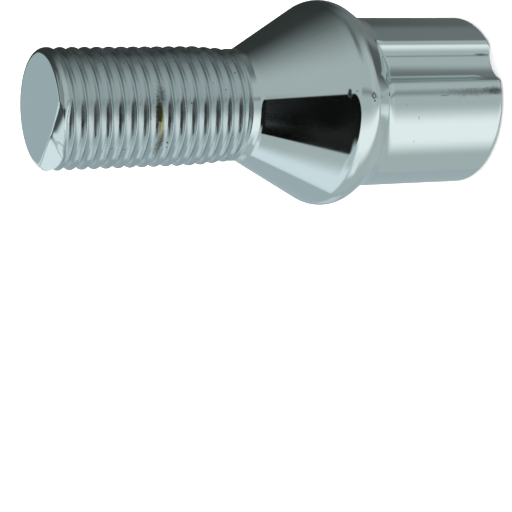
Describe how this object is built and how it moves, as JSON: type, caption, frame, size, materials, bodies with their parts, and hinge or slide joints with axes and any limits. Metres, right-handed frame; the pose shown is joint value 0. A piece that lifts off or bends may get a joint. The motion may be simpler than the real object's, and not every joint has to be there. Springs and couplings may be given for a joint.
{
  "type": "locking wheel bolt",
  "caption": "Chrome locking wheel bolt with a threaded shank, a conical seat, a rounded flange and a round head grooved lengthwise for a key socket.",
  "frame": {"origin": "centre of the head's end face, which the bolt stands on", "axes": "+Z along the bolt, from the head's end to the thread's tip; -Y towards the groove of the head"},
  "size_m": [0.0248, 0.0248, 0.0563],
  "materials": {
    "chrome": "polished chrome plating on steel, with light scratches, pits and a brown stain in the thread"
  },
  "bodies": {
    "root": {"wheel_bolt": "chrome"}
  },
  "joints": []
}
